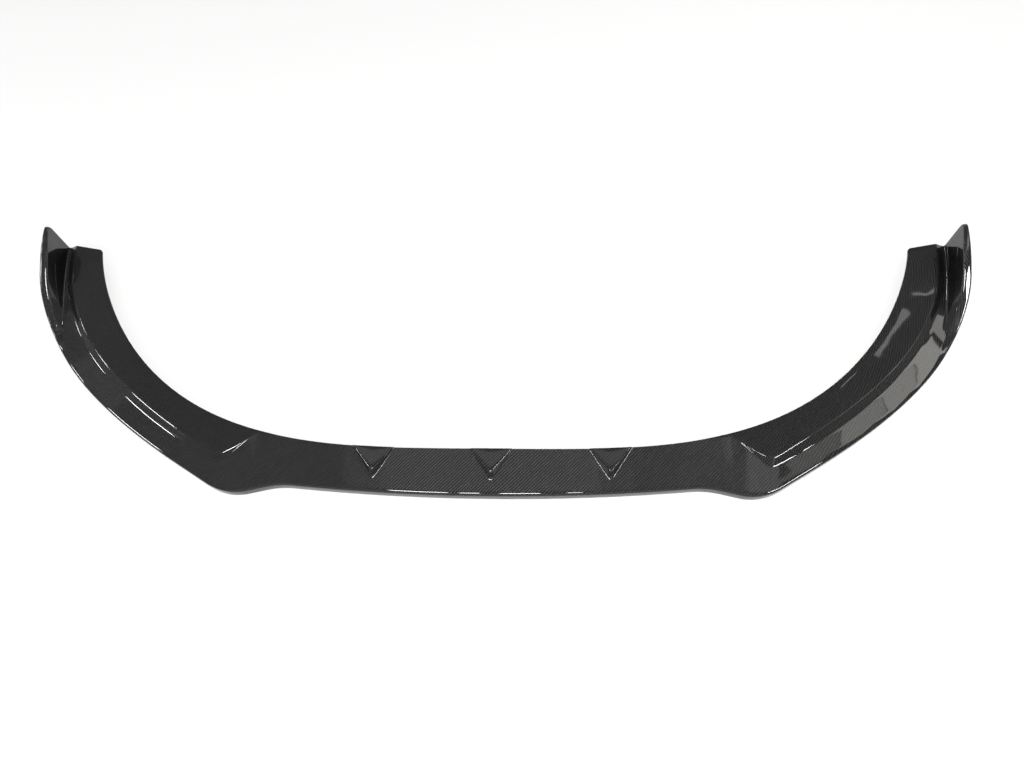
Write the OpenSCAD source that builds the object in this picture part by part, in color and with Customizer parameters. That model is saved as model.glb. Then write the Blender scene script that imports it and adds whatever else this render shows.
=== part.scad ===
// Front splitter lip for a car bumper: one moulded carbon-fibre skin.
// A wide front band runs back along both sides into two arms. Raised pads along the inner
// edge seat against the bumper, and each arm ends in an upright hollow fin.
// Millimetres. X runs across the car, Y from front to rear, Z up from the ground.

/* [Overall] */
// Width across the outer faces of the fins
overall_w = 1772; // [1700:4:1860]
// Length from the front edge to the rear ends of the arms
overall_d = 518; // [495:1:545]
// Height of the fins' rear tips above the ground
overall_h = 98; // [80:1:120]
// Thickness of the moulded skin
skin_t = 2.5; // [2:0.25:3]

/* [Front outline] */
// Width between the two front corners, before they are rounded
corner_w = 937; // [920:1:950]
// How far each front corner stands ahead of the nose, before it is rounded
corner_lead = 3.3; // [0:0.1:8]
// Reach of the rounding on each side of a front corner
corner_soft = 38; // [20:1:44]
// How far the outline is set back between the nose and each corner
setback = 18.4; // [8:0.4:30]
// Width between the two set-back points
setback_w = 748; // [700:2:770]
// Reach of the rounding on each side of a set-back point
setback_soft = 25; // [10:1:35]
// Angle at which each side runs back from its corner
side_angle = 31; // [28:0.5:34]
// Straight stretch of each side behind its corner
side_straight = 110; // [100:1:130]
// Straight stretch of each side ahead of its rear end
rear_straight = 95; // [80:1:115]

/* [Band and arms] */
// Depth of the band at the middle of the nose, from front to back
band_d = 82.5; // [78:0.5:95]
// Width of each arm at its rear end
arm_w = 85.5; // [78:0.5:94]
// Squareness of the bay between the arms, seen from above
bay_square = 3.56; // [3.2:0.02:3.8]
// Flatness of the bay's front edge
bay_flat = 1.42; // [1.38:0.02:1.6]
// Slant of the arms' rear ends
trim_angle = 10; // [0:1:14]
// Rounding of the inner corner of each rear end
arm_corner_r = 7; // [3:1:10]
// Height of the outer edge above the ground
edge_h = 20; // [16:1:24]
// Rise of the deck for each millimetre inwards from the outer edge
deck_rise = 0.15; // [0.1:0.01:0.16]
// Reach of the rounding along the outer top edge
edge_soft = 4.5; // [2:0.5:5]

/* [Raised pads] */
// Height of the pads' flat tops above the ground
pad_h = 34; // [32:0.5:38]
// Run of the side pads' sloping walls for each millimetre of their height
side_wall_run = 1.5; // [1:0.05:1.6]
// Run of the V-shaped pads' sloping walls for each millimetre of their height
v_wall_run = 0.6; // [0.4:0.05:1]
// Reach of the rounding along the pads' edges
pad_soft = 3; // [1:0.5:4]
// Width of each V-shaped pad at the inner edge
v_w = 75; // [60:1:84]
// Depth of each V-shaped pad from the inner edge to its tip
v_d = 53; // [40:1:58]
// Spacing of the V-shaped pads
v_pitch = 209; // [195:1:225]
// Width between the front corners of the side pads
pad_corner_w = 970; // [956:2:980]
// Distance of those corners behind the front edge
pad_corner_d = 52.5; // [48:0.5:58]
// Angle at which a side pad's front foot runs from its corner to the inner edge
pad_front_angle = 42; // [38:0.5:46]
// Angle at which a side pad's outer foot runs back from its corner
pad_side_angle = 28; // [24:1:31]
// Width of the outer ledge beside a side pad where the straight side ends
ledge_front = 37; // [32:1:44]
// Width of the outer ledge at the middle of the side
ledge_middle = 48; // [42:1:54]
// Width of the outer ledge at the rear end of the arm
ledge_rear = 15; // [14:0.5:20]

/* [Fins] */
// Length over which the outer edge rises to each fin's rear tip
fin_len = 250; // [235:5:265]
// Length of each fin's inner face
fin_face_len = 213; // [200:1:225]
// Thickness of each fin's foot at the front end of the inner face
fin_front_w = 16; // [14:0.5:18]
// Thickness of each fin at its rear end
fin_rear_w = 9; // [8:0.5:12]
// Greatest width of the rim along the top of each fin
fin_rim_w = 15; // [12:0.5:17]
// Outward bow of the inner face's foot, greatest two thirds of the way back
fin_bow = 4; // [0:0.5:5]
// Lean of the inner face at the fin's rear end
fin_draft = 0.3; // [0.1:0.1:0.8]
// Rounding of the fin's rear top corner
fin_tip_r = 10; // [4:1:14]

/* [Hidden] */
carbon = "#2a2c2e";

half_w = overall_w / 2;
corner = [corner_w / 2, -corner_lead];
setback_point = [setback_w / 2, setback];
pad_corner = [pad_corner_w / 2, pad_corner_d];
run_in = (setback + corner_lead) / (corner.x - setback_point.x);
side_slope = tan(side_angle);

// Everything ahead of swing_x is cut square across the car; behind it the sections swing
// round with the side of the lip until they lie across the arm
pad_corner_soft = 10;
swing_x = max(corner.x + corner_soft, pad_corner.x + pad_corner_soft) + 0.5;

// The side of the lip: a straight, a curve pulled towards side_pull, and a straight to the rear
side_start = corner + side_straight * [cos(side_angle), sin(side_angle)];
side_pull = [half_w, side_start.y + side_slope * (half_w - side_start.x)];
side_end = [half_w, overall_d - rear_straight];

// The bay between the arms is one quarter of a squared-off ellipse on each side
bay_w = half_w - arm_w;
bay_d = overall_d - band_d;
bay_end = overall_d - arm_w * tan(trim_angle);

function mix(a, b, t) = a + (b - a) * t;
function ease(t) = t * t * (3 - 2 * t);
function unit(v) = v / norm(v);
function left_of(v) = unit([-v.y, v.x]);

// A quadratic curve from a to b, pulled towards p
function bend(a, p, b, t) = (1 - t) * (1 - t) * a + 2 * t * (1 - t) * p + t * t * b;
function bend_way(a, p, b, t) = (1 - t) * (p - a) + t * (b - p);
function bend_at_y(a, p, b, y) =
    let (k2 = a.y - 2 * p.y + b.y, k1 = 2 * (p.y - a.y), k0 = a.y - y)
    -2 * k0 / (k1 + sqrt(k1 * k1 - 4 * k2 * k0));

// The larger or smaller of two heights, with the join rounded where they differ by less than r
function soft_max(a, b, r) = max(a, b) + pow(max(0, r - abs(a - b)), 2) / (4 * r);
function soft_min(a, b, r) = -soft_max(-a, -b, r);

// Front outline: a shallow arc across the nose, a run out to each corner, and the side
function front_y(x) =
    let (nose = setback * pow(x / setback_point.x, 2))
    let (run = corner.y + run_in * (corner.x - x))
    let (side = corner.y + side_slope * (x - corner.x))
    let (nose_slope = 2 * setback / setback_point.x)
    soft_max(
        soft_min(nose, run, (nose_slope + run_in) * setback_soft),
        side,
        (run_in + side_slope) * corner_soft
    );
function front_slope(x) = (front_y(x + 0.5) - front_y(x - 0.5));

// Edge of the bay, as y for a given x near the nose and as x for a given y along the arms
function bay_y(x) = overall_d - bay_d * pow(1 - pow(x / bay_w, bay_square), 1 / bay_flat);
function bay_x(y) = bay_w * pow(1 - pow((overall_d - y) / bay_d, bay_flat), 1 / bay_square);

// Height of the deck at a distance inwards from the outer edge: it climbs until it levels
// off at the height of the pads
deck_soft = 1.5;
function deck_h(inwards) = soft_min(edge_h + deck_rise * inwards, pad_h, deck_soft);

// Edge of the pad nearest to a section at x, as the y where its wall begins; climb moves the
// line inwards, square to the wall, to where the wall has climbed by that height
v_tip_soft = 10;
v_slope = v_d / (v_w / 2 - v_tip_soft / 4);
v_centers = [0, v_pitch];
function v_line(x, center, climb) =
    let (off = soft_max(x - center, center - x, v_tip_soft) - v_tip_soft / 4)
    bay_y(center) - v_d + v_slope * off + climb * v_wall_run * norm([1, v_slope]);
pad_slope = tan(pad_front_angle);
pad_side_slope = tan(pad_side_angle);
function side_pad_line(x, climb) =
    let (past = x - pad_corner.x, inset = climb * side_wall_run)
    let (front = pad_corner.y - pad_slope * past + inset * norm([1, pad_slope]))
    let (side = pad_corner.y + pad_side_slope * past + inset * norm([1, pad_side_slope]))
    soft_max(front, side, (pad_slope + pad_side_slope) * pad_corner_soft);
function pad_line(x, climb) =
    min(concat([side_pad_line(x, climb)], [for (center = v_centers) v_line(x, center, climb)]));

// Height of the top surface ahead of swing_x
function nose_h(x, y) =
    let (foot = pad_line(x, 0), here = deck_h(y - front_y(x)))
    let (climb = pad_h - deck_h(foot - front_y(x)), head = pad_line(x, climb))
    y <= foot ? here : mix(here, pad_h, min(1, (y - foot) / (head - foot)));

// Rise of the fin's rim above the deck's edge: one smooth climb that ends in a rounded corner
fin_front = overall_d - fin_len;
fin_rise = (overall_h - edge_h) / ease(1 - fin_tip_r / fin_len);
function fin_lift(y) =
    let (past = max(0, y - overall_d + fin_tip_r))
    fin_rise * ease(max(0, y - fin_front) / fin_len) - fin_tip_r + sqrt(fin_tip_r * fin_tip_r - past * past);

// Share of that rise which the inner side of the rim has reached: it leaves the deck later
// than the outer side, and then catches up with it
fin_face_front = overall_d - fin_face_len;
fin_face_run = 25;
function face_share(y) = ease(min(1, max(0, y - fin_face_front) / fin_face_run));

// How far back the underside's corners lie at the two ends of a wall, so that the skin is
// as thick through the wall as it is beside it
function wall_back(low, high) =
    let (run = norm([high.x - low.x, high.y - low.y]))
    skin_t * tan(45 - atan2(run, high.z - low.z) / 2);

// A section is its corners, from the bay's edge outwards and down to the ground, on the top
// of the skin, with the matching corners on its underside. bay, head and foot are where the
// bay's edge and the top and foot of the pad's wall lie. From the outline point out, the
// other corners lie inwards along way, and stretch allows for a section cut at a slant.
rim_soft = 4;
function section(bay, head, foot, out, way, stretch, fin_w, lift, share) =
    let (up = [0, 0, 1], inwards = [way.x, way.y, 0], edge = [out.x, out.y, 0])
    let (rim_w = soft_min(fin_w - fin_draft, fin_rim_w, rim_soft))
    let (
        root = edge + inwards * fin_w * stretch + up * deck_h(fin_w),
        brow = edge + inwards * rim_w * stretch + up * mix(deck_h(rim_w), edge_h + lift, share),
        rim = edge + up * (edge_h + lift),
        pad_back = unit([head.x - foot.x, head.y - foot.y, 0]) * wall_back(foot, head),
        fin_back = inwards * wall_back(root, brow) * stretch,
        back = inwards * skin_t * stretch,
        down = up * skin_t
    )
    [
        [bay, bay - down],
        [head, head + pad_back - down],
        [foot, foot + pad_back - down],
        [root, root - fin_back - down],
        [brow, brow - fin_back - down],
        [rim, rim + back - down],
        [edge, edge + back]
    ];

// Sections ahead of swing_x, where the pads' walls are lines of the section
min_step = 2;
function nose_section(x) =
    let (out = [x, front_y(x)], bay_line = bay_y(x), foot_line = pad_line(x, 0))
    let (foot_y = min(bay_line - 2 * min_step, foot_line))
    let (head_line = pad_line(x, pad_h - deck_h(foot_y - out.y)))
    let (head_y = max(foot_y + min_step, min(bay_line - min_step, head_line)))
    section(
        [x, bay_line, nose_h(x, bay_line)], [x, head_y, nose_h(x, head_y)],
        [x, foot_y, nose_h(x, foot_y)], out, [0, 1], norm([1, front_slope(x)]), fin_front_w, 0, 0
    );

// Sections along the side, given the outline point, the direction inwards, the width of the
// ledge and the point that the bay's edge has reached
function side_section(out, way, ledge, bay_at, fin_w) =
    let (foot = [out.x + way.x * ledge, out.y + way.y * ledge, deck_h(ledge)])
    let (run = ledge + side_wall_run * (pad_h - foot.z))
    let (head = [out.x + way.x * run, out.y + way.y * run, pad_h], bay = [bay_at.x, bay_at.y, pad_h])
    section(bay, head, foot, out, way, 1, fin_w, fin_lift(out.y), face_share(out.y));

// The pad's foot and head between swing_x and the end of the straight side are curves of
// their own, which end square across the side
out_swing = [swing_x, front_y(swing_x)];
foot_swing = [swing_x, side_pad_line(swing_x, 0)];
foot_swing_h = deck_h(foot_swing.y - out_swing.y);
head_swing = [swing_x, side_pad_line(swing_x, pad_h - foot_swing_h)];
across = left_of(side_start - corner);
foot_start = side_start + across * ledge_front;
head_start = foot_start + across * side_wall_run * (pad_h - deck_h(ledge_front));
function pull_point(a, b) = let (x = (a.x + b.x) / 2) [x, b.y - side_slope * (b.x - x)];

// How far the bay's edge runs on ahead of the outline, at the two ends of the side's curve
bay_lead_front = 107;
bay_lead_rear = 16;
bay_swing_y = bay_y(swing_x);
bay_start_y = side_start.y + bay_lead_front;
bay_side_y = side_end.y + bay_lead_rear;

function swing_section(t) =
    let (out = mix(out_swing, side_start, t), y = mix(bay_swing_y, bay_start_y, t))
    let (foot = bend(foot_swing, pull_point(foot_swing, foot_start), foot_start, t))
    let (head = bend(head_swing, pull_point(head_swing, head_start), head_start, t))
    let (way = unit(foot - out), stretch = 1 / (way * across))
    section(
        [bay_x(y), y, pad_h], [head.x, head.y, pad_h],
        [foot.x, foot.y, mix(foot_swing_h, deck_h(ledge_front), t)],
        out, way, stretch, fin_front_w, 0, 0
    );

// The foot of the fin's inner face runs along fin_line in plan, bowed outwards, so the fin's
// thickness is where a section meets that line, less the bow
fin_t = bend_at_y(side_start, side_pull, side_end, fin_face_front);
fin_root_front = bend(side_start, side_pull, side_end, fin_t)
    + fin_front_w * left_of(bend_way(side_start, side_pull, side_end, fin_t));
fin_root_rear = [half_w, overall_d] - fin_rear_w * [cos(trim_angle), sin(trim_angle)];
fin_line = fin_root_rear - fin_root_front;
function cross2(a, b) = a.x * b.y - a.y * b.x;
function bow_share(s) = s * s * (1 - s) * 27 / 4;
function fin_w(out, way) =
    out.y < fin_face_front + 0.01 ? fin_front_w
    : cross2(fin_root_front - out, fin_line) / cross2(way, fin_line)
        - fin_bow * bow_share((out.y - fin_face_front) / fin_face_len);

// The ledge widens to its middle width and then narrows towards the rear end
middle_t = 0.7;
middle_y = bend(side_start, side_pull, side_end, middle_t).y;
function ledge_w(out, t) =
    out.y < middle_y ? mix(ledge_front, ledge_middle, ease(t / middle_t))
    : mix(ledge_middle, ledge_rear, ease((out.y - middle_y) / (overall_d - middle_y)));

function curve_section(t) =
    let (out = bend(side_start, side_pull, side_end, t))
    let (way = left_of(bend_way(side_start, side_pull, side_end, t)))
    let (y = mix(bay_start_y, bay_side_y, t))
    side_section(out, way, ledge_w(out, t), [bay_x(y), y], fin_w(out, way));

function rear_section(t) =
    let (out = mix(side_end, [half_w, overall_d], t), turn = trim_angle * t)
    let (way = [-cos(turn), -sin(turn)], y = mix(bay_side_y, bay_end, t))
    let (past = max(0, y - bay_end + arm_corner_r))
    let (cut = arm_corner_r - sqrt(arm_corner_r * arm_corner_r - past * past))
    side_section(out, way, ledge_w(out, 1), [bay_x(y) + cut, y], fin_w(out, way));

// Where the sections stand: close together where a line bends, far apart where it runs straight
v_steps = concat([0, 2, 5, 9, 15, 23], [for (off = [-9, -6, -4, -2, 0, 2]) v_w / 2 + off]);

// The side pad's front foot reaches the bay's edge at pad_start, found by closing in on it
function meeting(x, turns) =
    turns == 0 ? x : meeting(pad_corner.x - (bay_y(x) - pad_corner.y) / pad_slope, turns - 1);
pad_start = meeting(pad_corner.x, 12);
nose_marks = concat(
    v_steps,
    [v_pitch / 2 - 22, v_pitch / 2 + 22],
    [for (step = v_steps) v_pitch - step],
    [for (step = v_steps) v_pitch + step],
    [for (i = [1 : 3]) mix(v_pitch + v_w / 2 + 2, setback_point.x - setback_soft, i / 4)],
    [for (i = [-2 : 2]) setback_point.x + setback_soft * i / 2],
    [for (i = [0 : 4]) pad_start - 1 + i * 3],
    [for (i = [1 : 3]) mix(pad_start + 11, pad_corner.x - pad_corner_soft, i / 4)],
    [for (i = [-4 : 4]) pad_corner.x + pad_corner_soft * i / 4],
    [mix(pad_corner.x + pad_corner_soft, swing_x, 0.5)]
);
function sorted(list) =
    len(list) < 2 ? list
    : let (pivot = list[floor(len(list) / 2)])
    concat(sorted([for (x = list) if (x < pivot) x]), [pivot], sorted([for (x = list) if (x > pivot) x]));
marks = sorted(nose_marks);
least_gap = 0.4;
nose_steps = [
    for (i = [0 : len(marks) - 1])
    if (i == 0 || marks[i] - marks[i - 1] > least_gap && marks[i] < swing_x - least_gap) marks[i]
];
swing_steps = [0, 0.2, 0.45, 0.72];
face_full_t = bend_at_y(side_start, side_pull, side_end, fin_face_front + fin_face_run);
front_curve_steps = [for (i = [0 : 8]) fin_t * i / 9];
face_curve_steps = [for (i = [0 : 3]) mix(fin_t, face_full_t, i / 4)];
rear_curve_steps = [for (i = [0 : 5]) mix(face_full_t, 1, i / 6)];
tip_t = 1 - fin_tip_r / rear_straight;
rear_steps = [0, 0.25, 0.5, 0.72, tip_t, mix(tip_t, 1, 0.5), mix(tip_t, 1, 0.85), 1];

half_sections = concat(
    [for (x = nose_steps) nose_section(x)],
    [for (t = swing_steps) swing_section(t)],
    [for (t = concat(front_curve_steps, face_curve_steps)) curve_section(t)],
    [for (t = rear_curve_steps) curve_section(t)],
    [for (t = rear_steps) rear_section(t)]
);

// Rounds a corner c of the section between its neighbours a and b with three points
function rounded(a, c, b, reach) =
    let (to_a = min(reach, 0.4 * norm(a - c)) * unit(a - c))
    let (to_b = min(reach, 0.4 * norm(b - c)) * unit(b - c))
    [c + to_a, c + 0.25 * (to_a + to_b), c + to_b];

// The closed loop of a section: along the top with its corners rounded, back along the underside
soft = [0, pad_soft, pad_soft, pad_soft, edge_soft, edge_soft, 0];
last = len(soft) - 1;
function loop(corners) = concat(
    [corners[0][0]],
    [for (i = [1 : last - 1]) each rounded(corners[i - 1][0], corners[i][0], corners[i + 1][0], soft[i])],
    [corners[last][0]],
    [for (i = [last : -1 : 0]) corners[i][1]]
);
top_count = 3 * (last - 1) + 2;
loop_count = top_count + last + 1;

module lip() {
    stations = len(half_sections);
    count = 2 * stations - 1;
    loops = [for (corners = half_sections) loop(corners)];
    points = [
        for (i = [0 : count - 1], p = loops[abs(i - stations + 1)])
        [(i < stations - 1 ? -1 : 1) * p.x, p.y - overall_d / 2, p.z]
    ];
    // Skin between neighbouring sections, split the same way on both sides of the middle
    sides = [
        for (i = [0 : count - 2], j = [0 : loop_count - 1])
        let (k = (j + 1) % loop_count)
        let (a = i * loop_count + j, b = i * loop_count + k)
        let (c = b + loop_count, d = a + loop_count)
        each (i < stations - 1 ? [[a, d, b], [b, d, c]] : [[a, c, b], [a, d, c]])
    ];
    // Cut faces at the rear ends: each underside corner closes against its rounded top corner
    cap = [
        for (i = [0 : last])
        let (low = loop_count - 1 - i, high = i == 0 ? 0 : min(3 * i - 2, top_count - 1))
        let (next = i == last ? high : (i == 0 ? 0 : high + 2))
        each concat(
            i > 0 && i < last ? [[high, low, high + 1], [high + 1, low, high + 2]] : [],
            i < last ? [[next, low, low - 1], [next, low - 1, next + 1]] : []
        )
    ];
    far = (count - 1) * loop_count;
    ends = concat(
        [for (f = cap) [f[0], f[2], f[1]]],
        [for (f = cap) [far + f[0], far + f[1], far + f[2]]]
    );
    color(carbon) polyhedron(points = points, faces = concat(sides, ends), convexity = 10);
}

lip();
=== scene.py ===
"""Looks of the front splitter lip: glossy twill carbon skin on a pale studio floor."""
import math

import bpy
import numpy as np
from mathutils import Matrix, Vector

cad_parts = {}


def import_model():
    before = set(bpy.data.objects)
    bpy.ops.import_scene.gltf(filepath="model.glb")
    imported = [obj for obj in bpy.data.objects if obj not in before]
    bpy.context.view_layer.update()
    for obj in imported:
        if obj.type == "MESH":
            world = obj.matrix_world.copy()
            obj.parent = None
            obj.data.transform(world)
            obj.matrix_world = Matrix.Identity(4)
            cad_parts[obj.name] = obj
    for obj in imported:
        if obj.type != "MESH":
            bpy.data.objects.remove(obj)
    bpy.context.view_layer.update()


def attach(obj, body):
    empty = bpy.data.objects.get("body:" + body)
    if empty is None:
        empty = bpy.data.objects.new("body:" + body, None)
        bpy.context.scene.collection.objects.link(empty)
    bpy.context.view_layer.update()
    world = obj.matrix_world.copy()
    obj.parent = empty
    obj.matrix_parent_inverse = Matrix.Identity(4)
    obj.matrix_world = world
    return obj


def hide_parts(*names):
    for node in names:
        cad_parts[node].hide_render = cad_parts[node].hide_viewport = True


MM = 0.001

# Sizes of the lip in millimetres and degrees, as part.scad has them
OVERALL_W, OVERALL_D, OVERALL_H, SKIN = 1772.0, 518.0, 98.0, 2.5
CORNER_W, CORNER_LEAD, CORNER_SOFT = 937.0, 3.3, 38.0
SETBACK, SETBACK_W, SETBACK_SOFT = 18.4, 748.0, 25.0
SIDE_ANGLE, SIDE_STRAIGHT, REAR_STRAIGHT = 31.0, 110.0, 95.0
BAND_D, ARM_W, BAY_SQUARE, BAY_FLAT = 82.5, 85.5, 3.56, 1.42
TRIM_ANGLE, ARM_CORNER_R = 10.0, 7.0
EDGE_H, DECK_RISE, DECK_SOFT, EDGE_SOFT = 20.0, 0.15, 1.5, 4.5
PAD_H, SIDE_RUN, V_RUN, PAD_SOFT = 34.0, 1.5, 0.6, 3.0
V_W, V_D, V_PITCH, V_TIP_SOFT = 75.0, 53.0, 209.0, 10.0
PAD_CORNER_W, PAD_CORNER_D, PAD_CORNER_SOFT = 970.0, 52.5, 10.0
PAD_FRONT_ANGLE, PAD_SIDE_ANGLE = 42.0, 28.0
LEDGE_FRONT, LEDGE_MIDDLE, LEDGE_REAR = 37.0, 48.0, 15.0
FIN_LEN, FIN_FACE_LEN, FIN_FACE_RUN, FIN_TIP_R = 250.0, 213.0, 25.0, 10.0
FIN_FRONT_W, FIN_REAR_W, FIN_RIM_W, FIN_BOW, FIN_DRAFT, RIM_SOFT = 16.0, 9.0, 15.0, 4.0, 0.3, 4.0
BAY_LEAD_FRONT, BAY_LEAD_REAR = 107.0, 16.0


def unit(v):
    v = np.asarray(v, float)
    return v / np.linalg.norm(v)


def mix(a, b, t):
    return a + (b - a) * t


def ease(t):
    return t * t * (3 - 2 * t)


def left_of(v):
    return unit([-v[1], v[0]])


def bend(a, p, b, t):
    """A point on the curve from a to b that is pulled towards p."""
    return (1 - t) ** 2 * a + 2 * t * (1 - t) * p + t * t * b


def bend_way(a, p, b, t):
    return (1 - t) * (p - a) + t * (b - p)


def soft_max(a, b, r):
    """The larger of two values, rounded where they differ by less than r."""
    return max(a, b) + max(0.0, r - abs(a - b)) ** 2 / (4 * r)


def soft_min(a, b, r):
    return -soft_max(-a, -b, r)


def cross2(a, b):
    return a[0] * b[1] - a[1] * b[0]


HALF_W = OVERALL_W / 2
CORNER = np.array([CORNER_W / 2, -CORNER_LEAD])
SETBACK_X = SETBACK_W / 2
PAD_CORNER = np.array([PAD_CORNER_W / 2, PAD_CORNER_D])
SIDE_SLOPE = math.tan(math.radians(SIDE_ANGLE))
RUN_IN = (SETBACK + CORNER_LEAD) / (CORNER[0] - SETBACK_X)
NOSE_SLOPE = 2 * SETBACK / SETBACK_X
SWING_GAP = 0.5
SWING_X = max(CORNER[0] + CORNER_SOFT, PAD_CORNER[0] + PAD_CORNER_SOFT) + SWING_GAP
SIDE_DIR = np.array([math.cos(math.radians(SIDE_ANGLE)), math.sin(math.radians(SIDE_ANGLE))])
SIDE_START = CORNER + SIDE_STRAIGHT * SIDE_DIR
SIDE_PULL = np.array([HALF_W, SIDE_START[1] + SIDE_SLOPE * (HALF_W - SIDE_START[0])])
SIDE_END = np.array([HALF_W, OVERALL_D - REAR_STRAIGHT])
BAY_W, BAY_D = HALF_W - ARM_W, OVERALL_D - BAND_D
BAY_END = OVERALL_D - ARM_W * math.tan(math.radians(TRIM_ANGLE))


def front_y(x):
    """The front edge: the nose's curve, the run out to the corner, and the side behind it."""
    nose = SETBACK * (x / SETBACK_X) ** 2
    run = CORNER[1] + RUN_IN * (CORNER[0] - x)
    side = CORNER[1] + SIDE_SLOPE * (x - CORNER[0])
    front = soft_min(nose, run, (NOSE_SLOPE + RUN_IN) * SETBACK_SOFT)
    return soft_max(front, side, (RUN_IN + SIDE_SLOPE) * CORNER_SOFT)


def front_slope(x):
    """How far the front edge runs back over one millimetre."""
    return front_y(x + 0.5) - front_y(x - 0.5)


def bay_y(x):
    return OVERALL_D - BAY_D * (1 - (x / BAY_W) ** BAY_SQUARE) ** (1 / BAY_FLAT)


def bay_x(y):
    return BAY_W * (1 - ((OVERALL_D - y) / BAY_D) ** BAY_FLAT) ** (1 / BAY_SQUARE)


def deck_h(inwards):
    return soft_min(EDGE_H + DECK_RISE * inwards, PAD_H, DECK_SOFT)


V_SLOPE = V_D / (V_W / 2 - V_TIP_SOFT / 4)
PAD_SLOPE = math.tan(math.radians(PAD_FRONT_ANGLE))
PAD_SIDE_SLOPE = math.tan(math.radians(PAD_SIDE_ANGLE))


def v_line(x, center, climb):
    """Front line of a V-shaped pad's wall, at a height above its foot."""
    off = soft_max(x - center, center - x, V_TIP_SOFT) - V_TIP_SOFT / 4
    return bay_y(center) - V_D + V_SLOPE * off + climb * V_RUN * math.hypot(1, V_SLOPE)


def side_pad_line(x, climb):
    """Front and outer line of a side pad's wall, at a height above its foot."""
    past, inset = x - PAD_CORNER[0], climb * SIDE_RUN
    front = PAD_CORNER[1] - PAD_SLOPE * past + inset * math.hypot(1, PAD_SLOPE)
    side = PAD_CORNER[1] + PAD_SIDE_SLOPE * past + inset * math.hypot(1, PAD_SIDE_SLOPE)
    return soft_max(front, side, (PAD_SLOPE + PAD_SIDE_SLOPE) * PAD_CORNER_SOFT)


def pad_line(x, climb):
    return min(side_pad_line(x, climb), v_line(x, 0, climb), v_line(x, V_PITCH, climb))


def nose_h(x, y):
    foot, here = pad_line(x, 0), deck_h(y - front_y(x))
    head = pad_line(x, PAD_H - deck_h(foot - front_y(x)))
    return here if y <= foot else mix(here, PAD_H, min(1.0, (y - foot) / (head - foot)))


FIN_FRONT = OVERALL_D - FIN_LEN
FIN_RISE = (OVERALL_H - EDGE_H) / ease(1 - FIN_TIP_R / FIN_LEN)
FIN_FACE_FRONT = OVERALL_D - FIN_FACE_LEN


def fin_lift(y):
    """How far the outer edge has risen into the fin, with the fin's rear top corner rounded."""
    past = max(0.0, y - OVERALL_D + FIN_TIP_R)
    climb = FIN_RISE * ease(max(0.0, y - FIN_FRONT) / FIN_LEN)
    return climb - FIN_TIP_R + math.sqrt(max(0.0, FIN_TIP_R**2 - past**2))


def face_share(y):
    return ease(min(1.0, max(0.0, y - FIN_FACE_FRONT) / FIN_FACE_RUN))


def wall_back(low, high):
    """How far a sloping wall's underside lies behind its top, for a skin of even thickness."""
    run = math.hypot(high[0] - low[0], high[1] - low[1])
    return SKIN * math.tan(math.pi / 4 - math.atan2(run, high[2] - low[2]) / 2)


def section(bay, head, foot, out, way, stretch, fin_w, lift, share):
    """Corners of one section, on top of the skin and on its underside, from the bay's edge outwards."""
    up, inwards = np.array([0, 0, 1.0]), np.array([way[0], way[1], 0.0])
    edge = np.array([out[0], out[1], 0.0])
    bay, head, foot = (np.array(p, float) for p in (bay, head, foot))
    rim_w = soft_min(fin_w - FIN_DRAFT, FIN_RIM_W, RIM_SOFT)
    root = edge + inwards * fin_w * stretch + up * deck_h(fin_w)
    brow = edge + inwards * rim_w * stretch + up * mix(deck_h(rim_w), EDGE_H + lift, share)
    rim = edge + up * (EDGE_H + lift)
    pad_back = unit([head[0] - foot[0], head[1] - foot[1], 0]) * wall_back(foot, head)
    fin_back = inwards * wall_back(root, brow) * stretch
    back, down = inwards * SKIN * stretch, up * SKIN
    top = [bay, head, foot, root, brow, rim, edge]
    under = [bay - down, head + pad_back - down, foot + pad_back - down, root - fin_back - down,
             brow - fin_back - down, rim + back - down, edge + back]
    return top, under


MIN_STEP = 2.0


def nose_section(x):
    """A section cut square across the car, ahead of where the sections swing round."""
    out, bay_line, foot_line = (x, front_y(x)), bay_y(x), pad_line(x, 0)
    foot_y = min(bay_line - 2 * MIN_STEP, foot_line)
    head_line = pad_line(x, PAD_H - deck_h(foot_y - out[1]))
    head_y = max(foot_y + MIN_STEP, min(bay_line - MIN_STEP, head_line))
    at = lambda y: (x, y, nose_h(x, y))
    stretch = math.hypot(1, front_slope(x))
    return section(at(bay_line), at(head_y), at(foot_y), out, (0, 1), stretch, FIN_FRONT_W, 0, 0)


def side_section(out, way, ledge, bay_at, fin_w):
    """A section across an arm, from its outer edge inwards."""
    foot = (*(out + way * ledge), deck_h(ledge))
    run = ledge + SIDE_RUN * (PAD_H - foot[2])
    head = (*(out + way * run), PAD_H)
    return section((*bay_at, PAD_H), head, foot, out, way, 1.0, fin_w, fin_lift(out[1]), face_share(out[1]))


ACROSS = left_of(SIDE_START - CORNER)
OUT_SWING = np.array([SWING_X, front_y(SWING_X)])
FOOT_SWING = np.array([SWING_X, side_pad_line(SWING_X, 0)])
FOOT_SWING_H = deck_h(FOOT_SWING[1] - OUT_SWING[1])
HEAD_SWING = np.array([SWING_X, side_pad_line(SWING_X, PAD_H - FOOT_SWING_H)])
FOOT_START = SIDE_START + ACROSS * LEDGE_FRONT
HEAD_START = FOOT_START + ACROSS * SIDE_RUN * (PAD_H - deck_h(LEDGE_FRONT))
BAY_SWING_Y, BAY_START_Y = bay_y(SWING_X), SIDE_START[1] + BAY_LEAD_FRONT
BAY_SIDE_Y = SIDE_END[1] + BAY_LEAD_REAR


def pull_point(a, b):
    x = (a[0] + b[0]) / 2
    return np.array([x, b[1] - SIDE_SLOPE * (b[0] - x)])


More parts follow.
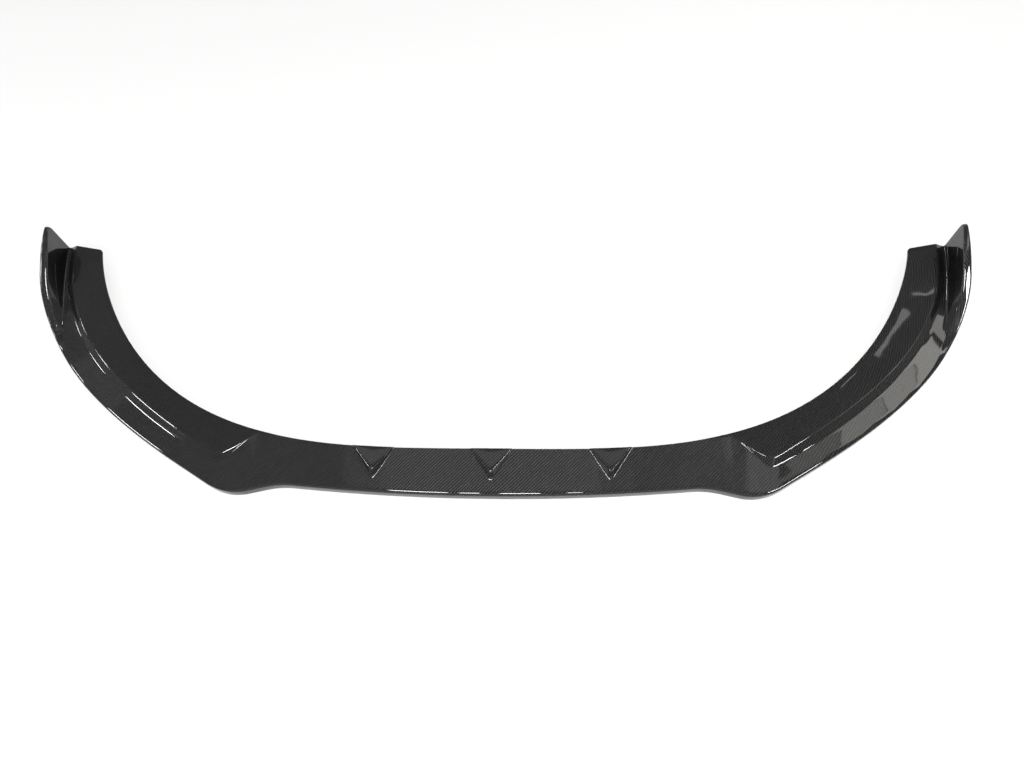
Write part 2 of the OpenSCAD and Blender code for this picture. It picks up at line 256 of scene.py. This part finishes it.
def swing_section(t):
    """A section between the last one cut square and the start of the side's curve."""
    out, y = mix(OUT_SWING, SIDE_START, t), mix(BAY_SWING_Y, BAY_START_Y, t)
    foot = bend(FOOT_SWING, pull_point(FOOT_SWING, FOOT_START), FOOT_START, t)
    head = bend(HEAD_SWING, pull_point(HEAD_SWING, HEAD_START), HEAD_START, t)
    way = unit(foot - out)
    stretch, bay = 1 / way.dot(ACROSS), (bay_x(y), y, PAD_H)
    foot_h = mix(FOOT_SWING_H, deck_h(LEDGE_FRONT), t)
    return section(bay, (*head, PAD_H), (*foot, foot_h), out, way, stretch, FIN_FRONT_W, 0, 0)


def side_point(t):
    """A point on the curve of the outer edge beside an arm."""
    return bend(SIDE_START, SIDE_PULL, SIDE_END, t)


def side_way(t):
    """The direction inwards, square to that curve."""
    return left_of(bend_way(SIDE_START, SIDE_PULL, SIDE_END, t))


def t_at_y(y):
    """Where along that curve a given y lies."""
    a, p, b = SIDE_START[1], SIDE_PULL[1], SIDE_END[1]
    k2, k1, k0 = a - 2 * p + b, 2 * (p - a), a - y
    return -2 * k0 / (k1 + math.sqrt(k1 * k1 - 4 * k2 * k0))


FIN_T = t_at_y(FIN_FACE_FRONT)
FIN_ROOT_FRONT = side_point(FIN_T) + FIN_FRONT_W * side_way(FIN_T)
TRIM = math.radians(TRIM_ANGLE)
REAR_TIP = np.array([HALF_W, OVERALL_D])
FIN_LINE = REAR_TIP - FIN_REAR_W * np.array([math.cos(TRIM), math.sin(TRIM)]) - FIN_ROOT_FRONT
# A length in millimetres that counts as nothing
TINY = 0.01
# Makes 1 the greatest value of back * back * (1 - back)
BOW_SCALE = 27 / 4


def fin_w(out, way):
    """Thickness of the fin's foot: from its inner face's line, bowed outwards, to the outer edge."""
    if out[1] < FIN_FACE_FRONT + TINY:
        return FIN_FRONT_W
    back = (out[1] - FIN_FACE_FRONT) / FIN_FACE_LEN
    bow = FIN_BOW * BOW_SCALE * back * back * (1 - back)
    return cross2(FIN_ROOT_FRONT - out, FIN_LINE) / cross2(way, FIN_LINE) - bow


MIDDLE_T = 0.7
MIDDLE_Y = side_point(MIDDLE_T)[1]


def ledge_w(out, t):
    """Width of the ledge outside a side pad: widest at the middle of the side."""
    if out[1] < MIDDLE_Y:
        return mix(LEDGE_FRONT, LEDGE_MIDDLE, ease(t / MIDDLE_T))
    return mix(LEDGE_MIDDLE, LEDGE_REAR, ease((out[1] - MIDDLE_Y) / (OVERALL_D - MIDDLE_Y)))


def curve_section(t):
    """A section across an arm where its outer edge curves."""
    out, way, y = side_point(t), side_way(t), mix(BAY_START_Y, BAY_SIDE_Y, t)
    return side_section(out, way, ledge_w(out, t), (bay_x(y), y), fin_w(out, way))


def rear_section(t):
    """A section across the straight rear end of an arm, turning until it meets the slanted cut."""
    out, turn = mix(SIDE_END, REAR_TIP, t), TRIM * t
    way, y = np.array([-math.cos(turn), -math.sin(turn)]), mix(BAY_SIDE_Y, BAY_END, t)
    past = max(0.0, y - BAY_END + ARM_CORNER_R)
    cut = ARM_CORNER_R - math.sqrt(max(0.0, ARM_CORNER_R**2 - past**2))
    return side_section(out, way, ledge_w(out, 1), (bay_x(y) + cut, y), fin_w(out, way))


def steps(*spans):
    """Positions along a line: each span is (start, end, step)."""
    out = [np.linspace(a, b, max(2, int(round(abs(b - a) / s)) + 1)) for a, b, s in spans]
    return np.unique(np.round(np.concatenate(out), 4))


# Stretches and steps of the sections across a V-shaped pad
V_MARGIN, V_LEG, V_TIP = 3.0, 10.0, 7.0
LEG_STEP, WALL_STEP, TIP_STEP = 0.8, 1.6, 0.7


def v_spans(center):
    """Spans across one V-shaped pad: close together at its tip and where its legs reach the bay."""
    left, right = center - V_W / 2, center + V_W / 2
    return [(left - V_MARGIN, left + V_LEG, LEG_STEP), (left + V_LEG, center - V_TIP, WALL_STEP),
            (center - V_TIP, center + V_TIP, TIP_STEP), (center + V_TIP, right - V_LEG, WALL_STEP),
            (right - V_LEG, right + V_MARGIN, LEG_STEP)]


START_ROUNDS = 12


def pad_start_x():
    """Where a side pad's front foot reaches the bay's edge, found by closing in on it."""
    x = PAD_CORNER[0]
    for _ in range(START_ROUNDS):
        x = PAD_CORNER[0] - (bay_y(x) - PAD_CORNER[1]) / PAD_SLOPE
    return x


# Sections stand closer from this x on, where the front edge turns, and round a side pad's start and corner
TURN_X = 340.0
START_BEFORE, START_AFTER, CORNER_BEFORE, CORNER_AFTER = 4.0, 14.0, 14.0, 12.0
NOSE_STEP, TURN_STEP, START_STEP, FOOT_STEP, CORNER_STEP, BEHIND_STEP = 4.0, 3.0, 0.9, 2.5, 1.0, 2.0


def nose_spans():
    """Spans from the middle of the nose to where the sections start to swing round."""
    v_half, start, corner = V_W / 2 + V_MARGIN, pad_start_x(), PAD_CORNER[0]
    return [*v_spans(0), (v_half, V_PITCH - v_half, NOSE_STEP), *v_spans(V_PITCH),
            (V_PITCH + v_half, TURN_X, NOSE_STEP), (TURN_X, start - START_BEFORE, TURN_STEP),
            (start - START_BEFORE, start + START_AFTER, START_STEP),
            (start + START_AFTER, corner - CORNER_BEFORE, FOOT_STEP),
            (corner - CORNER_BEFORE, corner + CORNER_AFTER, CORNER_STEP),
            (corner + CORNER_AFTER, SWING_X, BEHIND_STEP)]


SWING_COUNT, CURVE_COUNT, REAR_COUNT, TIP_COUNT = 25, 161, 26, 22
TIP_MARGIN = 1.0


def half_sections():
    """Sections from the middle of the nose to the right arm's rear end."""
    nose = steps(*nose_spans())
    tip = 1 - (FIN_TIP_R + TIP_MARGIN) / REAR_STRAIGHT
    rear = np.concatenate([np.linspace(0, tip, REAR_COUNT)[1:], np.linspace(tip, 1, TIP_COUNT)[1:]])
    sections = [nose_section(x) for x in nose[nose >= 0]]
    sections += [swing_section(t) for t in np.linspace(0, 1, SWING_COUNT)[1:-1]]
    sections += [curve_section(t) for t in np.linspace(0, 1, CURVE_COUNT)]
    return sections + [rear_section(t) for t in rear]


# Points on each of the seven top corners, and extra points on the pad's flat top and on the ledge
CORNERS, ROUND_STEPS, FLAT_STEPS, FLATS = 7, 6, 3, (1, 3)
TOP_COUNT = CORNERS * ROUND_STEPS + len(FLATS) * FLAT_STEPS
LIP_R, REACH_SHARE = 0.5, 0.4


def rounded(a, c, b, reach):
    """Points of a smooth turn at c, between its neighbours a and b."""
    to_a = min(reach, REACH_SHARE * np.linalg.norm(a - c)) * unit(a - c)
    to_b = min(reach, REACH_SHARE * np.linalg.norm(b - c)) * unit(b - c)
    return [c + (1 - t) ** 2 * to_a + t * t * to_b for t in np.linspace(0, 1, ROUND_STEPS)]


def straight(a, b, count):
    return [mix(a, b, t) for t in np.linspace(0, 1, count + 2)[1:-1]]


def loop(top, under):
    """The closed outline of one section: the rounded top, then back along the underside."""
    soft = [LIP_R, PAD_SOFT, PAD_SOFT, PAD_SOFT, EDGE_SOFT, EDGE_SOFT, LIP_R]
    before = [under[0]] + top[:-1]
    after = top[1:] + [under[-1]]
    points = []
    for i, corner in enumerate(top):
        turn = rounded(before[i], corner, after[i], soft[i])
        if i in FLATS:
            points += straight(points[-1], turn[0], FLAT_STEPS)
        points += turn
    return np.array(points + under[::-1])


def lip_grid():
    """Loops of points from the left rear end to the right rear end, in metres in the row frame."""
    loops = np.array([loop(*s) for s in half_sections()])
    loops[:, :, 1] -= OVERALL_D / 2
    loops[:, :, 2] = np.clip(loops[:, :, 2], 0.0, OVERALL_H)
    mirror = loops[:0:-1] * np.array([-1, 1, 1])
    return np.concatenate([mirror, loops]) * MM


# The cloth turns little where the band bends near the nose and more towards the arms' ends
CLOTH_TURN, BAND_TURN, CLOTH_LAG = math.radians(72), math.radians(82), 2.0


def turned(points, turn):
    """Turns 2-D points clockwise."""
    c, s = np.cos(turn), np.sin(turn)
    return np.stack([c * points[..., 0] + s * points[..., 1], -s * points[..., 0] + c * points[..., 1]], -1)


def cloth_coordinates(grid):
    """Lays the cloth flat: across follows each section's outline, along follows the band's middle."""
    bay, edge = grid[:, 0, :2], grid[:, TOP_COUNT - 1, :2]
    middle = (bay + edge) / 2
    across = (bay - edge) / np.linalg.norm(bay - edge, axis=1)[:, None]
    line = np.gradient(middle, axis=0)
    band_turn = np.unwrap(np.arctan2(line[:, 1], line[:, 0]))
    turn = np.sign(band_turn) * CLOTH_TURN * np.abs(band_turn / BAND_TURN) ** CLOTH_LAG
    along = turned(np.diff(middle, axis=0), (turn[1:] + turn[:-1]) / 2)
    flat = np.concatenate([np.zeros((1, 2)), np.cumsum(along, axis=0)])
    flat -= flat[len(grid) // 2]
    lengths = np.linalg.norm(np.diff(grid, axis=1), axis=2)
    run = np.concatenate([np.zeros((len(grid), 1)), np.cumsum(lengths, axis=1)], axis=1)
    off = run[:, TOP_COUNT - 1 : TOP_COUNT] / 2 - run
    return flat[:, None, :] + turned(across[:, None, :] * off[:, :, None], turn[:, None])


def side_faces(cloth):
    """Quads between neighbouring loops, with the cloth coordinates of their corners."""
    rows, around = cloth.shape[:2]
    # The seam, where the cloth coordinates start again, runs along the bay's lower edge
    seam = cloth[:, -1] + (cloth[:, -1] - cloth[:, -2]) / 2
    faces, uvs = [], []
    for i in range(rows - 1):
        here, there = i * around, (i + 1) * around
        for j in range(around):
            k = (j + 1) % around
            faces.append((here + j, here + k, there + k, there + j))
            near, far = (cloth[i, k], cloth[i + 1, k]) if k else (seam[i], seam[i + 1])
            uvs += [cloth[i, j], near, far, cloth[i + 1, j]]
    return faces, uvs


def cap_faces(base, around):
    """Triangles that close one cut end: each corner of the underside fans out to the top above it."""
    firsts = [ROUND_STEPS * n + FLAT_STEPS * sum(n >= flat for flat in FLATS) for n in range(CORNERS)]
    faces = []
    for n, first in enumerate(firsts):
        low = base + around - 1 - n
        last = firsts[n + 1] if n + 1 < CORNERS else TOP_COUNT - 1
        faces += [(base + h, low, base + h + 1) for h in range(first, last)]
        if n + 1 < CORNERS:
            faces.append((base + last, low, low - 1))
    return faces


def end_caps(grid):
    """Faces of both cut ends, with the cloth laid straight on them."""
    rows, around = grid.shape[:2]
    faces = cap_faces(0, around) + [face[::-1] for face in cap_faces((rows - 1) * around, around)]
    points = grid.reshape(-1, 3)
    return faces, [points[v][[0, 2]] for face in faces for v in face]


SHARP_ANGLE = math.radians(38)


def build_lip():
    """The whole skin as one fine mesh that carries the cloth coordinates."""
    grid = lip_grid()
    faces, uvs = side_faces(cloth_coordinates(grid))
    caps, cap_uvs = end_caps(grid)
    mesh = bpy.data.meshes.new("carbon_lip")
    mesh.from_pydata(grid.reshape(-1, 3).tolist(), [], faces + caps)
    layer = mesh.uv_layers.new(name="cloth")
    layer.data.foreach_set("uv", np.array(uvs + cap_uvs, dtype=np.float32).ravel())
    mesh.update()
    obj = bpy.data.objects.new("carbon_lip", mesh)
    bpy.context.collection.objects.link(obj)
    mesh.polygons.foreach_set("use_smooth", [True] * len(mesh.polygons))
    mesh.set_sharp_from_angle(angle=SHARP_ANGLE)
    return obj


class Nodes:
    """Short hands for building a material's node tree."""

    def __init__(self, name):
        self.material = bpy.data.materials.new(name)
        self.material.use_nodes = True
        self.tree = self.material.node_tree
        self.tree.nodes.clear()

    def add(self, kind, **settings):
        node = self.tree.nodes.new(kind)
        for key, value in settings.items():
            setattr(node, key, value)
        return node

    def put(self, socket, value):
        if isinstance(value, bpy.types.NodeSocket):
            self.tree.links.new(value, socket)
        else:
            socket.default_value = value

    def put_all(self, node, values):
        for name, value in values.items():
            self.put(node.inputs[name], value)
        return node

    def math(self, op, a, b=None, clamp=False):
        node = self.add("ShaderNodeMath", operation=op, use_clamp=clamp)
        self.put(node.inputs[0], a)
        if b is not None:
            self.put(node.inputs[1], b)
        return node.outputs[0]

    def mix_value(self, factor, a, b):
        node = self.add("ShaderNodeMix", data_type="FLOAT")
        for index, value in ((0, factor), (2, a), (3, b)):
            self.put(node.inputs[index], value)
        return node.outputs[0]

    def mix_color(self, factor, a, b, blend="MIX"):
        node = self.add("ShaderNodeMix", data_type="RGBA", blend_type=blend)
        for index, value in ((0, factor), (6, a), (7, b)):
            self.put(node.inputs[index], value)
        return node.outputs[2]

    def split(self, kind, value):
        node = self.add(kind)
        self.put(node.inputs[0], value)
        return node.outputs

    def noise(self, coords, scale, detail, roughness=0.5):
        node = self.add("ShaderNodeTexNoise", noise_dimensions="3D")
        settings = {"Vector": coords, "Scale": scale, "Detail": detail, "Roughness": roughness}
        return self.put_all(node, settings).outputs

    def fade(self, value, start, end, at_start, at_end):
        """Goes smoothly from one number to another while the value runs from start to end."""
        node = self.add("ShaderNodeMapRange", interpolation_type="SMOOTHSTEP")
        limits = {"Value": value, "From Min": start, "From Max": end, "To Min": at_start, "To Max": at_end}
        return self.put_all(node, limits).outputs[0]

    def bump(self, height, strength, distance):
        node = self.add("ShaderNodeBump")
        return self.put_all(node, {"Height": height, "Strength": strength, "Distance": distance}).outputs[0]

    def finish(self, shader):
        out = self.add("ShaderNodeOutputMaterial")
        self.put(out.inputs[0], shader.outputs[0])
        return self.material


# Cloth: width of a tow in metres, tows in one repeat and in one float, and how round a tow is
TOW = 1.5 * MM
TWILL_REPEAT, FLOAT_LENGTH = 4.0, 2.0
TOW_ROUND = 3.4
# How far the tows wander, in tow widths
WANDER_SCALE, WANDER_DETAIL, WANDER = 9.0, 2.0, 1.2


def bulge(n, f):
    """Height across a tow: 1 on its middle line and lower at its edges."""
    c = n.math("SUBTRACT", f, 0.5)
    return n.math("SUBTRACT", 1.0, n.math("MULTIPLY", n.math("MULTIPLY", c, c), TOW_ROUND))


def halves(n, f):
    """The first and the second half of a float over two tows, each as a number from 0 to 1."""
    return n.math("MULTIPLY", f, 0.5), n.math("MULTIPLY", n.math("ADD", f, 1.0), 0.5)


def twill(n, coords):
    """2x2 twill in the cloth's own plane: which tow lies on top, and how high it stands."""
    cloth = n.split("ShaderNodeSeparateXYZ", n.add("ShaderNodeUVMap", uv_map="cloth").outputs[0])
    # The tows wander a little, as hand-laid cloth does
    wander = n.split("ShaderNodeSeparateColor", n.noise(coords, WANDER_SCALE, WANDER_DETAIL)["Color"])
    u = n.math("ADD", n.math("DIVIDE", cloth[0], TOW), n.math("MULTIPLY", wander[0], WANDER))
    v = n.math("ADD", n.math("DIVIDE", cloth[1], TOW), n.math("MULTIPLY", wander[1], WANDER))
    iu, iv = n.math("FLOOR", u), n.math("FLOOR", v)
    fu, fv = n.math("SUBTRACT", u, iu), n.math("SUBTRACT", v, iv)
    phase = n.math("FLOORED_MODULO", n.math("SUBTRACT", iu, iv), TWILL_REPEAT)
    over = n.math("LESS_THAN", phase, FLOAT_LENGTH - 0.5)
    # Across a tow the surface is rounded, and along it each float rises and dips
    first = n.math("LESS_THAN", n.math("FLOORED_MODULO", phase, FLOAT_LENGTH), 0.5)
    (v_front, v_back), (u_front, u_back) = halves(n, fv), halves(n, fu)
    warp = n.math("MULTIPLY", bulge(n, fu), bulge(n, n.mix_value(first, v_back, v_front)))
    weft = n.math("MULTIPLY", bulge(n, fv), bulge(n, n.mix_value(first, u_front, u_back)))
    return over, n.mix_value(over, weft, warp)


# Colour of the two directions of tows, the warp's lighter colour a painted sheen, and the share of the
# lighter one where they can't be told apart
WARP_SHEEN_COLOR = (0.0355, 0.0368, 0.0353, 1)
WEFT_UNLIT_COLOR = (0.0018, 0.0019, 0.0018, 1)
PLAIN_SHARE = 0.4
# The painted sheen's contrast fades over these stretches of x, in metres, to these shares of the nose's
LEFT_SHEEN_FADE, LEFT_SHEEN_CONTRAST = (-0.28, -0.10), 0.14
RIGHT_SHEEN_FADE, RIGHT_SHEEN_CONTRAST = (0.0, 0.24), 0.48
# Slow patches of weaker painted sheen contrast: size and depth
PATCH_SCALE, PATCH_DETAIL, PATCH_LOW, PATCH_SPAN = 11.0, 2.0, 0.55, 0.9
# Painted shade between tows: light that a low point of the cloth keeps, and what height adds
GAP_SHADE, HEIGHT_SHADE = 0.45, 0.6
# Painted shade: the low outer wall is darker below these heights and ahead of these values of y, in metres
WALL_TOP, WALL_REAR, WALL_PAINTED_SHADE = (0.012, 0.019), (-0.16, -0.02), 0.12


def cloth_color_and_painted_light(n, coords, over, height):
    """Colour of the cloth, with painted light: two directions of tows whose contrast is a painted sheen
    that changes over the lip, and painted shade between tows and on the low outer wall.
    """
    x, y, z = n.split("ShaderNodeSeparateXYZ", coords)
    # Painted sheen: the tows' contrast is faded by x, where light catches them less
    left = n.fade(x, *LEFT_SHEEN_FADE, LEFT_SHEEN_CONTRAST, 1.0)
    right = n.fade(x, *RIGHT_SHEEN_FADE, 1.0, RIGHT_SHEEN_CONTRAST)
    patches = n.math("MULTIPLY", n.noise(coords, PATCH_SCALE, PATCH_DETAIL)[0], PATCH_SPAN)
    patch = n.math("ADD", PATCH_LOW, patches, clamp=True)
    sheen_contrast = n.math("MULTIPLY", n.math("MULTIPLY", left, right), patch)
    sheen_tone = n.mix_color(n.mix_value(sheen_contrast, PLAIN_SHARE, over), WEFT_UNLIT_COLOR, WARP_SHEEN_COLOR)
    # Painted shade: darker in the gaps between tows, and in the low outer wall of the nose and the sides
    painted_shade = n.math("ADD", GAP_SHADE, n.math("MULTIPLY", height, HEIGHT_SHADE))
    # Painted shade: the low outer wall's colour is darkened
    wall_painted_shade = n.math("MAXIMUM", n.fade(z, *WALL_TOP, WALL_PAINTED_SHADE, 1.0), n.fade(y, *WALL_REAR, 0.0, 1.0))
    painted_shade = n.math("MULTIPLY", painted_shade, wall_painted_shade)
    grey = n.add("ShaderNodeCombineColor")
    for socket in grey.inputs:
        n.put(socket, painted_shade)
    return n.mix_color(1.0, sheen_tone, grey.outputs[0], "MULTIPLY")


WEAVE_STRENGTH, WEAVE_DEPTH = 1.0, 0.00028
RIPPLE_SCALE, RIPPLE_DETAIL, RIPPLE_ROUGHNESS = 14.0, 1.0, 0.45
RIPPLE_STRENGTH, RIPPLE_DEPTH = 0.35, 0.0015


def carbon_material():
    """2x2 twill of carbon tows under a clear coat."""
    n = Nodes("carbon_twill")
    coords = n.add("ShaderNodeTexCoord").outputs["Object"]
    over, height = twill(n, coords)
    shader = n.add("ShaderNodeBsdfPrincipled")
    # The coat is not perfectly flat: a slow ripple bends its reflections
    ripple = n.noise(coords, RIPPLE_SCALE, RIPPLE_DETAIL, RIPPLE_ROUGHNESS)[0]
    n.put_all(shader, {
        "Base Color": cloth_color_and_painted_light(n, coords, over, height), "Metallic": 0.8, "Roughness": 0.36,
        "Specular Tint": (0.3, 0.3, 0.3, 1), "Normal": n.bump(height, WEAVE_STRENGTH, WEAVE_DEPTH),
        "Coat Weight": 1.0, "Coat Roughness": 0.03, "Coat IOR": 1.5,
        "Coat Normal": n.bump(ripple, RIPPLE_STRENGTH, RIPPLE_DEPTH),
    })
    return n.finish(shader)


def floor_material():
    n = Nodes("studio_floor")
    shader = n.add("ShaderNodeBsdfPrincipled")
    n.put_all(shader, {"Base Color": (0.705, 0.705, 0.702, 1), "Roughness": 0.6})
    return n.finish(shader)


FLOOR_SIZE, FLOOR_Z = 40, -0.0004


def add_floor():
    bpy.ops.mesh.primitive_plane_add(size=FLOOR_SIZE, location=(0, 0, FLOOR_Z))
    floor = bpy.context.object
    floor.name = "floor"
    floor.data.materials.append(floor_material())


WARM, WHITE = (1.0, 0.98, 0.93), (1.0, 1.0, 1.0)


def add_panel(name, center, target, size, radiance, color=WHITE, shadows=True):
    """A lamp that shines evenly from a rectangle; radiance is how bright its face looks."""
    data = bpy.data.lights.new(name, "AREA")
    data.use_shadow = shadows
    data.shape = "RECTANGLE"
    data.size, data.size_y = size
    data.energy = radiance * math.pi * size[0] * size[1]
    data.color = color
    light = bpy.data.objects.new(name, data)
    bpy.context.collection.objects.link(light)
    light.location = center
    light.rotation_euler = (Vector(target) - Vector(center)).to_track_quat("-Z", "Y").to_euler()
    return light


# Soft lamps that light the whole stage: name, middle, length and width, radiance
SOFT_PANELS = [
    ("key", (0.0, -3.9, 3.4), (7.0, 2.0), 1.3),
    ("back", (0.0, 4.9, 3.4), (7.0, 1.8), 1.8),
]
# Ceiling panels that face down: name, middle x and y, turn in degrees, length, width, radiance, colour
CEILING_Z = 3.0
CEILING_PANELS = [
    ("pane_1", 2.13, 0.16, 0, 0.34, 0.50, 1.0, WARM),
    ("pane_2", 2.48, 0.40, 0, 0.34, 0.60, 2.6, WARM),
    ("pane_3", 2.83, 0.66, 0, 0.34, 0.70, 3.5, WARM),
    ("pane_4", 3.17, 0.98, 0, 0.32, 0.80, 4.3, WARM),
    ("pane_5", 3.58, 1.50, 0, 0.34, 0.42, 3.0, WARM),
    ("over_nose_left", -0.95, -0.12, 0, 0.2, 0.60, 0.24, WHITE),
    ("over_nose", -0.2, -0.12, 0, 1.3, 0.60, 0.46, WHITE),
    ("over_nose_right", 0.55, -0.12, 0, 0.2, 0.60, 0.24, WHITE),
    ("over_deck_right", 0.775, -0.11, 0, 0.25, 0.60, 0.12, WHITE),
    ("over_corner_side", 0.97, -0.10, 0, 0.14, 0.60, 0.22, WHITE),
    ("over_corner_edge", 1.09, -0.10, 0, 0.10, 0.60, 0.5, WHITE),
    ("over_corner", 1.55, -0.10, 0, 0.82, 0.60, 0.82, WHITE),
    ("over_vees", -0.2, 0.88, 0, 1.9, 0.30, 0.65, WHITE),
    ("bounce_left", -3.4, 0.75, 40, 1.6, 0.7, 0.2, WHITE),
    ("tube_front_1", -0.64, -0.85, 0, 0.34, 0.45, 50, WHITE),
    ("tube_front_2", -0.33, -0.85, 0, 0.12, 0.45, 50, WHITE),
    ("tube_front_3", -0.02, -0.85, 0, 0.26, 0.45, 50, WHITE),
    ("tube_front_4", 0.32, -0.85, 0, 0.10, 0.30, 50, WHITE),
    ("tube_far_left", -6.2, -2.2, 30, 0.6, 0.6, 3.0, WHITE),
    ("tube_rear_left", -4.6, 2.5, 0, 0.2, 0.5, 60, WHITE),
    ("tube_rear_right", 1.3, 2.4, 0, 0.2, 0.5, 60, WHITE),
    ("tube_left_1", -3.94, -0.41, 117, 0.79, 0.75, 45, WHITE),
    ("tube_left_2", -4.70, 0.50, 117, 0.35, 0.6, 45, WHITE),
    ("tube_left_3", -5.40, 1.35, 117, 0.35, 0.6, 45, WHITE),
    ("tube_right", 2.38, -0.91, 30, 0.94, 0.45, 55, WHITE),
    ("tube_arm_1", 2.17, 1.68, 52, 0.38, 0.03, 2.6, WHITE),
    ("tube_arm_2", 2.50, 1.95, 5, 0.36, 0.03, 2.8, WHITE),
    ("tube_arm_3", 1.86, 1.39, 40, 0.12, 0.04, 3.6, WHITE),
]


def add_lights():
    """Soft lamps before and behind, a window on the right and tubes that draw thin lines on the edges."""
    for name, center, size, radiance in SOFT_PANELS:
        add_panel(name, center, (0, 0, 0), size, radiance)
    for name, x, y, turn, length, width, radiance, color in CEILING_PANELS:
        panel = add_panel(name, (x, y, CEILING_Z), (x, y, 0), (length, width), radiance, color, False)
        panel.rotation_euler = (0, 0, math.radians(turn))


# The walls' brightness, the ceiling's, and the heights of the view direction between which they blend
WALL_LIGHT, CEILING_LIGHT, ROOM_BLEND = 0.4, 0.26, (0.4, 0.66)


def add_world():
    """A room with pale walls under a dimmer ceiling."""
    world = bpy.data.worlds.new("studio")
    world.use_nodes = True
    tree = world.node_tree
    direction = tree.nodes.new("ShaderNodeTexCoord").outputs["Generated"]
    split = tree.nodes.new("ShaderNodeSeparateXYZ")
    tree.links.new(direction, split.inputs[0])
    ramp = tree.nodes.new("ShaderNodeMapRange")
    ramp.interpolation_type = "SMOOTHSTEP"
    low, high = ROOM_BLEND
    limits = {"From Min": low, "From Max": high, "To Min": WALL_LIGHT, "To Max": CEILING_LIGHT}
    for name, value in limits.items():
        ramp.inputs[name].default_value = value
    tree.links.new(split.outputs[2], ramp.inputs["Value"])
    background = tree.nodes["Background"]
    background.inputs[0].default_value = (1.0, 1.0, 1.0, 1)
    tree.links.new(ramp.outputs[0], background.inputs[1])
    bpy.context.scene.world = world


# The camera as fitted to the photograph: place in metres, turns in degrees, and focal length in its pixels
CAMERA_AT = (0.088811, -0.410956 - OVERALL_D * MM / 2, 1.363645)
CAMERA_PITCH, CAMERA_YAW, CAMERA_ROLL = 64.974, -5.053, -4.337
FOCAL_PIXELS, PHOTO_WIDTH, SENSOR_WIDTH = 804.0, 1024.0, 36.0


def add_camera():
    """The photograph's own view: high above the nose, a little to the right and turned back to the left."""
    pitch, yaw, roll = (math.radians(v) for v in (CAMERA_PITCH, CAMERA_YAW, CAMERA_ROLL))
    ahead = Vector((math.sin(yaw) * math.cos(pitch), math.cos(yaw) * math.cos(pitch), -math.sin(pitch)))
    level = Vector((math.cos(yaw), -math.sin(yaw), 0))
    upward = level.cross(ahead)
    right = math.cos(roll) * level + math.sin(roll) * upward
    up = -math.sin(roll) * level + math.cos(roll) * upward
    data = bpy.data.cameras.new("camera")
    data.sensor_width = SENSOR_WIDTH
    data.lens = SENSOR_WIDTH * FOCAL_PIXELS / PHOTO_WIDTH
    camera = bpy.data.objects.new("camera", data)
    bpy.context.collection.objects.link(camera)
    turn = Matrix((right, up, -ahead)).transposed().to_4x4()
    camera.matrix_world = Matrix.Translation(Vector(CAMERA_AT)) @ turn
    bpy.context.scene.camera = camera


def main():
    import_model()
    lip = build_lip()
    lip.data.materials.append(carbon_material())
    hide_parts("lip")
    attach(lip, "root")
    add_floor()
    add_world()
    add_lights()
    bpy.context.scene.view_settings.view_transform = "Standard"
    add_camera()


main()
